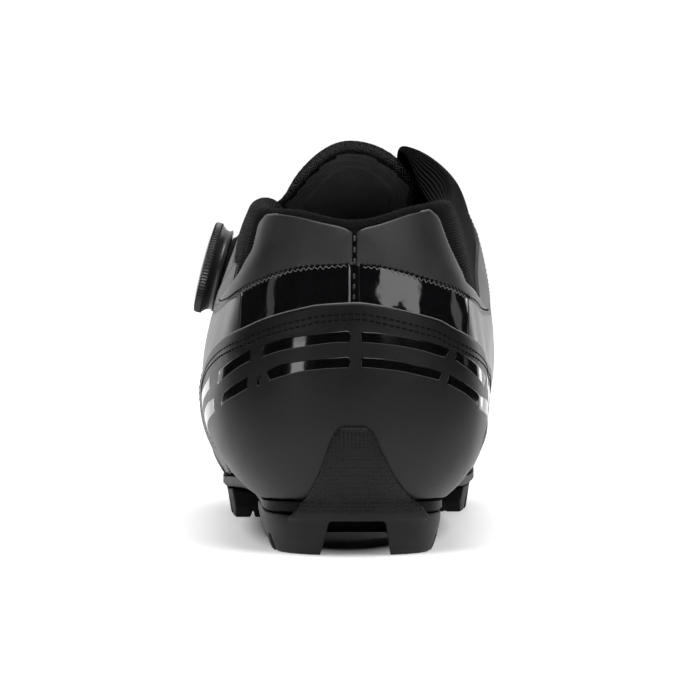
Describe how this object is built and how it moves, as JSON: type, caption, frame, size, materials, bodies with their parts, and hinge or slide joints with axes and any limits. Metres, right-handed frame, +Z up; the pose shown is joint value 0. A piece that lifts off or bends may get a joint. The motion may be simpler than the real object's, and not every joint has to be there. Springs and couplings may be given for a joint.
{
  "type": "cycling shoe",
  "caption": "Left off-road cycling shoe with a hollow upper, padded collar and tongue, side lace dial, rigid sole plate with a cleat pocket, and rubber treads.",
  "frame": {"origin": "middle of the shoe's box, on the floor it stands on", "axes": "+Z up, +Y from the heel to the toe, +X to the medial (inner) side of this left shoe"},
  "size_m": [0.1035, 0.2904, 0.129],
  "materials": {
    "upper": "matt",
    "textile": "matt",
    "footbed": "matt",
    "plate": "satin",
    "tread": "matt",
    "dial": "satin",
    "cable": "satin"
  },
  "bodies": {
    "root": {"upper": "upper", "tongue": "textile", "insole": "footbed", "sole_plate": "plate", "heel_tread": "tread", "forefoot_tread_lateral": "tread", "forefoot_tread_medial": "tread", "toe_tread": "tread", "dial_base": "dial", "dial_knob": "dial", "lace_guide_medial_upper": "dial", "lace_guide_lateral": "dial", "lace_guide_medial_lower": "dial", "lace_wire": "cable"}
  },
  "joints": []
}
